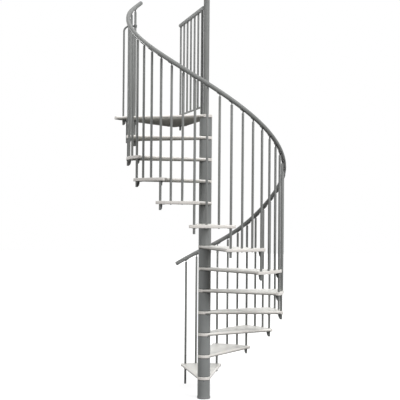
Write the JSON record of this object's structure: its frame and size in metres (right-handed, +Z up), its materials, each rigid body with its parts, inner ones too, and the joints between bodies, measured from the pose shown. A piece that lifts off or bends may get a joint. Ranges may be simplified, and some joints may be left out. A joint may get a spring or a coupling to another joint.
{
  "type": "spiral staircase",
  "caption": "Steel spiral staircase with wedge treads round a centre column, a wedge landing, a spiral handrail on round balusters, a landing guard and a corner hoop.",
  "frame": {"origin": "centre of the foot plate's underside, on the axis of the column, at floor level", "axes": "+Z up along the column, +Y away from the viewer of the picture, +X to the viewer's right; the landing lies towards -X and +Y"},
  "size_m": [1.76, 1.909, 4.0935],
  "materials": {
    "column": "satin grey powder coat",
    "rod": "satin grey powder coat",
    "bracket": "satin dark grey powder coat",
    "end_cap": "matte grey",
    "board": "off-white glazed plywood"
  },
  "bodies": {
    "root": {"foot_plate": "column", "foot_ring": "column", "centre_pole": "rod", "newel_cap": "end_cap", "column_spacers": "column", "tread_01": "board", "tread_02": "board", "tread_03": "board", "tread_04": "board", "tread_05": "board", "tread_06": "board", "tread_07": "board", "tread_08": "board", "tread_09": "board", "tread_10": "board", "tread_11": "board", "tread_12": "board", "platform_board": "board", "long_baluster_01": "rod", "long_baluster_02": "rod", "long_baluster_03": "rod", "long_baluster_04": "rod", "long_baluster_05": "rod", "long_baluster_06": "rod", "long_baluster_07": "rod", "long_baluster_08": "rod", "long_baluster_09": "rod", "long_baluster_10": "rod", "long_baluster_11": "rod", "long_baluster_12": "rod", "long_baluster_13": "rod", "short_balusters_lower": "rod", "short_balusters_upper": "rod", "handrail": "rod", "handrail_end_caps": "end_cap", "rail_saddles": "bracket", "rim_brackets": "bracket", "guard_rail": "rod", "guard_end_post": "rod", "guard_inner_post": "rod", "guard_foot_rail": "rod", "guard_bars": "rod", "hoop": "rod", "hoop_clamp": "bracket", "slab_bracket_front": "bracket", "slab_bracket_rear": "bracket"}
  },
  "joints": []
}
